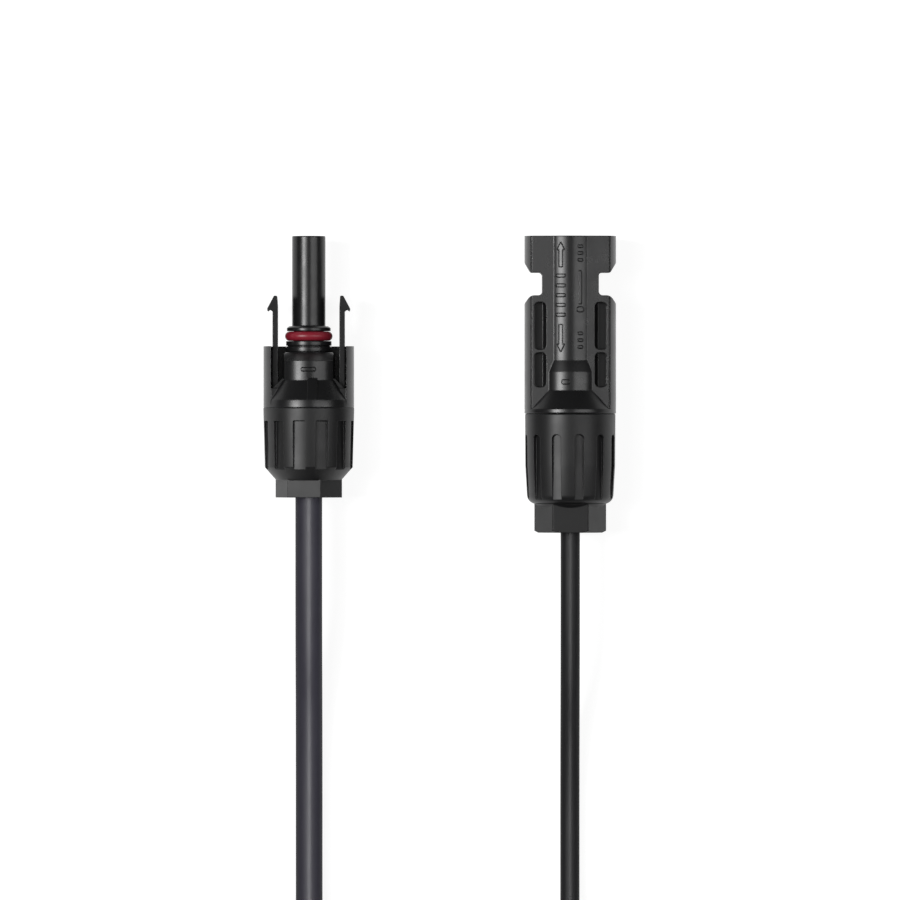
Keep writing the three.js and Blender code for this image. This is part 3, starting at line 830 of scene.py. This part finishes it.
def receptacle_housing():
    at = RECEPTACLE_PLACE
    boss_r = 7.05
    body_back = -35.5
    tube_part = turned("receptacle", filleted([
        (4.8, 0, 0.25),
        (TUBE_R, 0, 0.12),
        (TUBE_R, -25.5),
        (boss_r, -27.9, 0.05),
        (boss_r, -31.7, 0.05),
        (BODY_R - 0.15, -35.3),
        (BODY_R - 0.05, -35.5),
        (BODY_R, RECEPTACLE_COLLAR, 0.2),
        *tail_and_bore(RECEPTACLE_COLLAR),
        (CONTACT_BORE_R, -NOSE_LENGTH - 0.6),
        (NOSE_R + 0.18, -NOSE_LENGTH - 0.6),
        (NOSE_R + 0.18, -5.2),
        (4.8, -4.6),
    ], closed=True), at)
    half = [(BODY_R, 4.95), (0, 6.0), (-BODY_R, 4.95)]
    section = half + [(a, -b) for a, b in reversed(half)]
    walls = prism("walls", section, body_back, 0, at, along="y")
    walls = common(walls, disc(BODY_R - 0.02, body_back - 1, 1, at))
    walls = cut(walls, disc(4.95, body_back - 1, 1, at))
    made = united(tube_part, walls)
    notch = prism("notch", filleted([
        (NECK_X, -12.2, 0.8),
        (BODY_R - 1.2, -12.2, 1.6),
        (BODY_R, -13.9, 1.0),
        (BODY_R + 0.1, -16.0),
        (BODY_R + 2, -16.0),
        (BODY_R + 2, -3.4),
        (BODY_R + 0.1, -3.4),
        (BODY_R, -5.5, 1.2),
        (BODY_R - 1.2, -7.5, 0.4),
        (NECK_X, -7.5, 0.7),
    ], closed=True), -9, 9, at)
    channel = block(NECK_X, 8.0, -8.5, 1, -3.2, 3.2, at)
    cut(made, mirrored(notch, at), mirrored(channel, at))
    pocket_floor = 3.2
    tube_wall = TUBE_R - 0.1  # the round wall that shows inside the pockets
    for back, front in ((-23.3, -13.6), (-31.0, -23.9)):
        outline = rectangle(4.95, 7.45, back, front, 1.0)
        for low, high in ((pocket_floor, 9), (-9, -pocket_floor)):
            pocket = prism("pocket", outline, low, high, at)
            cut(made, mirrored(cut(pocket, disc(tube_wall, -40, 5, at)), at))
    parting = block(7.85, 8.15, body_back, 1, 4.5, 6, at)
    cut(made, mirrored(parting, at))
    marks = [arrow(-2.0, -6.4, -1.3, 0.35, 0.75), arrow(-2.0, -18.2, -23.8, 0.35, 0.75)]
    marks += [rectangle(-2.9, -1.1, y - 0.3, y + 0.3, 0.2) for y in (-8.2, -10.2, -12.2, -14.2, -16.2)]
    marks += [rectangle(1.75, 2.25, -14.0, -7.2, 0.2), rectangle(1.3, 2.7, -15.6, -14.6, 0.45)]
    marks += [rectangle(1.5, 2.5, y - 0.25, y + 0.25, 0.2) for y in (-2.2, -3.6, -5.0, -20.0, -21.4, -22.8)]
    raised = raised_marks(marks, TUBE_R, at)
    bar = raised_marks([rectangle(-1.8, -0.2, -30.4, -29.5, 0.35)], boss_r, at)
    screw = thread(ROOT_R, CREST_R, RECEPTACLE_COLLAR - 0.9, 3.9, at)
    whole = joined([made, raised, bar, screw])
    return piece(whole, "receptacle_housing.detail", "housing_plastic", "receptacle", "receptacle_housing")


def pin_contact():
    profile = filleted([
        (0, -6.0),
        (1.0, -6.15, 0.4),
        (1.6, -6.6, 0.6),
        (2.0, -7.6, 0.8),
        (2.0, -NOSE_LENGTH),
        (CONTACT_R, -NOSE_LENGTH - 0.5, 0.2),
        *contact_tail(RECEPTACLE_COLLAR, THIN),
    ])
    pin = turned("pin", profile, RECEPTACLE_PLACE, 72)
    piece(pin, "receptacle_pin_contact.detail", "contact_metal", "receptacle", "receptacle_pin_contact")


def receptacle_nut():
    at = RECEPTACLE_PLACE
    front = RECEPTACLE_COLLAR - SEAM
    barrel = turned("nut", filleted([
        (0, front),
        (9.27, front, 0.3),
        (9.2, -47.0, 12.0),
        (8.75, -54.9, 1.9),
        (7.35, -54.9, 0.2),
        (6.3, -55.7),
        (0, -55.7),
    ]), at)
    back = RECEPTACLE_NUT_BACK
    bevel = [(0, -53), (9, -53), (9, back + 1.3), (6.6, back), (0, back)]
    hexed = common(hexagon(14.7, RECEPTACLE_NUT_BACK, -54.3, 0, at), turned("bevel", bevel, at))
    made = united(barrel, hexed)
    cut(made, mirrored(block(3.5, 3.68, -60.4, -55.2, 6.25, 7, at), at))
    groove = prism("groove", filleted([
        (-0.95, -56), (0.95, -56), (0.95, -40.7, 0.9), (-0.95, -40.7, 0.9),
    ], closed=True), 7, 11, at)
    ribbed(made, groove, 8.55, 11.4, at)
    cut(made, nut_hollow(RECEPTACLE_COLLAR, RECEPTACLE_NUT_BACK, 2.2, at))
    screw = thread(NUT_BORE_R + 0.02, 7.15, RECEPTACLE_COLLAR - 1.9, 3.9, at)
    whole = joined([made, screw])
    piece(whole, "receptacle_gland_nut.detail", "nut_plastic", "receptacle_nut", "receptacle_gland_nut")


# ---- Leads ---------------------------------------------------------------------------------------

STRAP = 0.7
COIL_Z = STRAP + GAP


def smoothed(points, step):
    """Close points along a smooth curve through the given ones."""
    vectors = [Vector(p) for p in points]
    vectors = [vectors[0] * 2 - vectors[1]] + vectors + [vectors[-1] * 2 - vectors[-2]]
    fine = []
    for a, b, c, d in zip(vectors, vectors[1:], vectors[2:], vectors[3:]):
        count = max(1, round((c - b).length / step))
        for k in range(count):
            t = k / count
            square = (2 * a - 5 * b + 4 * c - d) * t**2
            cube = (3 * b - a - 3 * c + d) * t**3
            fine.append(0.5 * (2 * b + (c - a) * t + square + cube))
    fine.append(vectors[-2])
    return fine


def wound(centre, way, stations, step=3.0):
    """Points round a coil. Each station is (degrees wound, radius, z), eased from one to the next."""
    points = []
    for (from_a, from_r, from_z), (to_a, to_r, to_z) in zip(stations, stations[1:]):
        count = max(1, math.ceil((to_a - from_a) / step))
        for k in range(count):
            t = (k + 1) / count
            ease = t * t * (3 - 2 * t)
            angle = math.radians(centre[2] + way * (from_a + (to_a - from_a) * t))
            radius = from_r + (to_r - from_r) * ease
            height = from_z + (to_z - from_z) * ease
            x = centre[0] + radius * math.cos(angle)
            y = centre[1] + radius * math.sin(angle)
            points.append(Vector((x, y, height)))
    return points


def strap(name, centre, inner_r, outer_r, cable, layers, body, node):
    """A hook-and-loop strap round the far side of a coil, its end lapped over the top."""
    room = 0.15
    low_y = centre[1] - outer_r - cable["jacket"] - room
    high_y = centre[1] - inner_r + cable["jacket"] + room + 0.3
    top = COIL_Z + 2 * cable["jacket"] * layers + room
    outside = rectangle(low_y - STRAP, high_y + STRAP, 0.0, top + STRAP, 1.8)
    inside = rectangle(low_y, high_y, STRAP, top, 1.2)
    x = centre[0]
    loop = prism("strap", [(z, y) for y, z in outside], x - 4.5, x + 4.5, MIDDLE)
    cut(loop, prism("inside", [(z, y) for y, z in inside], x - 6, x + 6, MIDDLE))
    lapped = rectangle(low_y + 1.5, high_y - 1.5, top + STRAP - 0.1, top + 2 * STRAP, 0.25)
    lap = prism("lap", [(z, y) for y, z in lapped], x - 4.3, x + 4.3, MIDDLE)
    united(loop, lap)
    loop.data.transform(Matrix(((0, 0, 1, 0), (0, 1, 0, 0), (1, 0, 0, 0), (0, 0, 0, 1))))
    loop.data.flip_normals()
    piece(loop, name, "strap_fabric", body, node)
    return loop


def lead(prefix, body, cable, look, path, layers, centre, inner_r, outer_r):
    """A cable with its coil's strap and its stripped far end."""
    jacket = tube("cable", path, cable["jacket"], 48, end_round=0.25)
    nodes = [prefix + "_cable", prefix + "_cable_coil", prefix + "_cable_tail"]
    piece(jacket, prefix + "_cable.detail", look, body, *nodes)
    heading = (Vector(path[-1]) - Vector(path[-2])).normalized()
    end = Vector(path[-1])
    sleeve = tube("sleeve", [end - heading, end + heading * 6.3], cable["insulation"], 40, end_round=0.2)
    piece(sleeve, prefix + "_end_insulation.detail", "insulation_plastic", body, prefix + "_end_insulation")
    wire = strands("wire", end + heading * 4, end + heading * 14, cable["conductor"])
    piece(wire, prefix + "_end_strands.detail", "strand_metal", body, prefix + "_end_strands", sharp=BUNDLE)
    node = prefix + "_cable_strap"
    tie = strap(node + ".detail", centre, inner_r, outer_r, cable, layers, body, node)


def plug_lead():
    x = -HALF_SPACING
    low = THICK["jacket"]
    route = [
        (x, FRONT_Y - NOSE_LENGTH + PLUG_COLLAR + JACKET_START, AXIS_Z),
        (x, -24, AXIS_Z),
        (x, -42, AXIS_Z),
        (x, -54, 7.9),
        (x, -66, 4.6),
        (x, -78, low + 0.2),
        (x, -92, low),
        (x, -130, low),
        (x, -150, low),
        (x, -166, low + 0.4),
        (x, -184, low + COIL_Z),
        (x, -201, low + COIL_Z),
    ]
    centre = (5.8, -201, 180)  # the cable joins the coil at 180 degrees and winds anticlockwise
    first = low + COIL_Z
    second = first + 2 * low
    top = COIL_Z + 4 * low + GAP + low
    stations = [
        (0, 32.6, first), (310, 32.6, first), (355, 27, first), (665, 27, first), (710, 27, second),
        (1025, 27, second), (1070, 32.5, second), (1215, 32.5, second), (1250, 29.75, top),
        (1320, 29.75, top),
    ]
    path = smoothed(route, 2.5) + wound(centre, 1, stations)
    lead("plug", "plug", THICK, "thick_jacket", path, 2, centre, 27, 32.5)


def receptacle_lead():
    x = HALF_SPACING
    low = THIN["jacket"]
    route = [
        (x, FRONT_Y + RECEPTACLE_COLLAR + JACKET_START, AXIS_Z),
        (x, -30, AXIS_Z),
        (x, -48, AXIS_Z),
        (x, -60, 7.7),
        (x, -72, 4.1),
        (x, -84, low + 0.2),
        (x, -96, low),
        (x, -108, low + 0.4),
        (x, -121, low + COIL_Z),
        (x, -135, low + COIL_Z),
    ]
    centre = (4.9, -135, 0)  # the cable joins the coil at 0 degrees and winds clockwise
    first = low + COIL_Z
    second = first + 2 * low
    third = second + 2 * low
    top = COIL_Z + 6 * low + GAP + low
    stations = [
        (0, 21.9, first), (300, 22, first), (350, 18, first), (660, 18, first), (710, 18, second),
        (1020, 18, second), (1070, 22, second), (1380, 22, second), (1430, 22, third), (1740, 22, third),
        (1790, 18, third), (1930, 18, third), (1970, 20, top), (2050, 20, top),
    ]
    path = smoothed(route, 2.5) + wound(centre, -1, stations)
    lead("receptacle", "receptacle", THIN, "thin_jacket", path, 3, centre, 18, 22)


# ---- The pair ------------------------------------------------------------------------------------

plug_housing()
latch_fingers()
sealing_ring()
socket_contact()
lamella_band()
contact_clip("plug", PLUG_COLLAR, "plug", PLUG_PLACE)
stripped_end("plug", PLUG_COLLAR, THICK, "plug", PLUG_PLACE)
gland_seal("plug", PLUG_COLLAR, THICK, "plug", PLUG_PLACE)
clamp_cage("plug", PLUG_COLLAR, "plug_clamp", PLUG_PLACE)
plug_nut()
plug_lead()

receptacle_housing()
pin_contact()
contact_clip("receptacle", RECEPTACLE_COLLAR, "receptacle", RECEPTACLE_PLACE)
stripped_end("receptacle", RECEPTACLE_COLLAR, THIN, "receptacle", RECEPTACLE_PLACE)
gland_seal("receptacle", RECEPTACLE_COLLAR, THIN, "receptacle", RECEPTACLE_PLACE)
clamp_cage("receptacle", RECEPTACLE_COLLAR, "receptacle_clamp", RECEPTACLE_PLACE)
receptacle_nut()
receptacle_lead()

# ---- Floor and light -----------------------------------------------------------------------------


def floor():
    """A pale floor that glows a little, so that shadows on it stay soft and light."""
    mesh = bpy.data.meshes.new("floor")
    reach = 6.0
    below = -0.0002
    corners = [(-reach, -reach), (reach, -reach), (reach, reach), (-reach, reach)]
    mesh.from_pydata([(x, y, below) for x, y in corners], [], [(0, 1, 2, 3)])
    made = bpy.data.objects.new("floor", mesh)
    scene.collection.objects.link(made)
    look, _, _, surface = shader("floor", (0.3, 0.3, 0.3), 0.9)
    surface.inputs["Emission Color"].default_value = (1, 1, 1, 1)
    surface.inputs["Emission Strength"].default_value = 0.86
    mesh.materials.append(look)


def panel(name, x_near, x_far, y_low, y_high, height, radiance):
    """A level softbox, in metres, shining down with an even radiance."""
    data = bpy.data.lights.new(name, "AREA")
    data.shape = "RECTANGLE"
    data.size = abs(x_far - x_near)
    data.size_y = y_high - y_low
    data.energy = radiance * math.pi * data.size * data.size_y
    made = bpy.data.objects.new(name, data)
    made.location = ((x_near + x_far) / 2, (y_low + y_high) / 2, height)
    scene.collection.objects.link(made)
    return made


def flagged(light, name):
    """Keeps a light off everything but one piece."""
    lit = bpy.data.collections.new(light.name + "_lit")
    lit.objects.link(bpy.data.objects[name])
    light.light_linking.receiver_collection = lit


floor()

# Softboxes above the pair, level with its length. They are short, so that surfaces that lean
# forwards or back stay dark.
BOX_HEIGHT = 1.5
BOX_LOW, BOX_HIGH = -0.09, 0.29
panel("key", -0.70, -1.50, BOX_LOW, BOX_HIGH, BOX_HEIGHT, 30.0)
panel("key_halo", -0.36, -0.70, BOX_LOW, BOX_HIGH, BOX_HEIGHT, 7.2)
panel("top", -0.36, 0.36, BOX_LOW, BOX_HIGH, BOX_HEIGHT, 0.45)
panel("fill", 0.36, 2.40, BOX_LOW, BOX_HIGH, BOX_HEIGHT, 6.0)

# A strip along each cable, flagged off everything else.
STRIP_HEIGHT = 0.25
STRIP_HALF_WIDTH = 0.04
STRIP_LOW, STRIP_HIGH = -0.25, 0.08
for prefix, place, radiance in (("plug", PLUG_PLACE, 72.0), ("receptacle", RECEPTACLE_PLACE, 36.0)):
    low_x = place.x / 1000 - STRIP_HALF_WIDTH
    high_x = place.x / 1000 + STRIP_HALF_WIDTH
    strip = panel(prefix + "_strip", low_x, high_x, STRIP_LOW, STRIP_HIGH, STRIP_HEIGHT, radiance)
    flagged(strip, prefix + "_cable.detail")

world = bpy.data.worlds.new("studio")
world.use_nodes = True
world.node_tree.nodes["Background"].inputs["Color"].default_value = (0.06, 0.06, 0.06, 1)
scene.world = world
scene.view_settings.view_transform = "Standard"
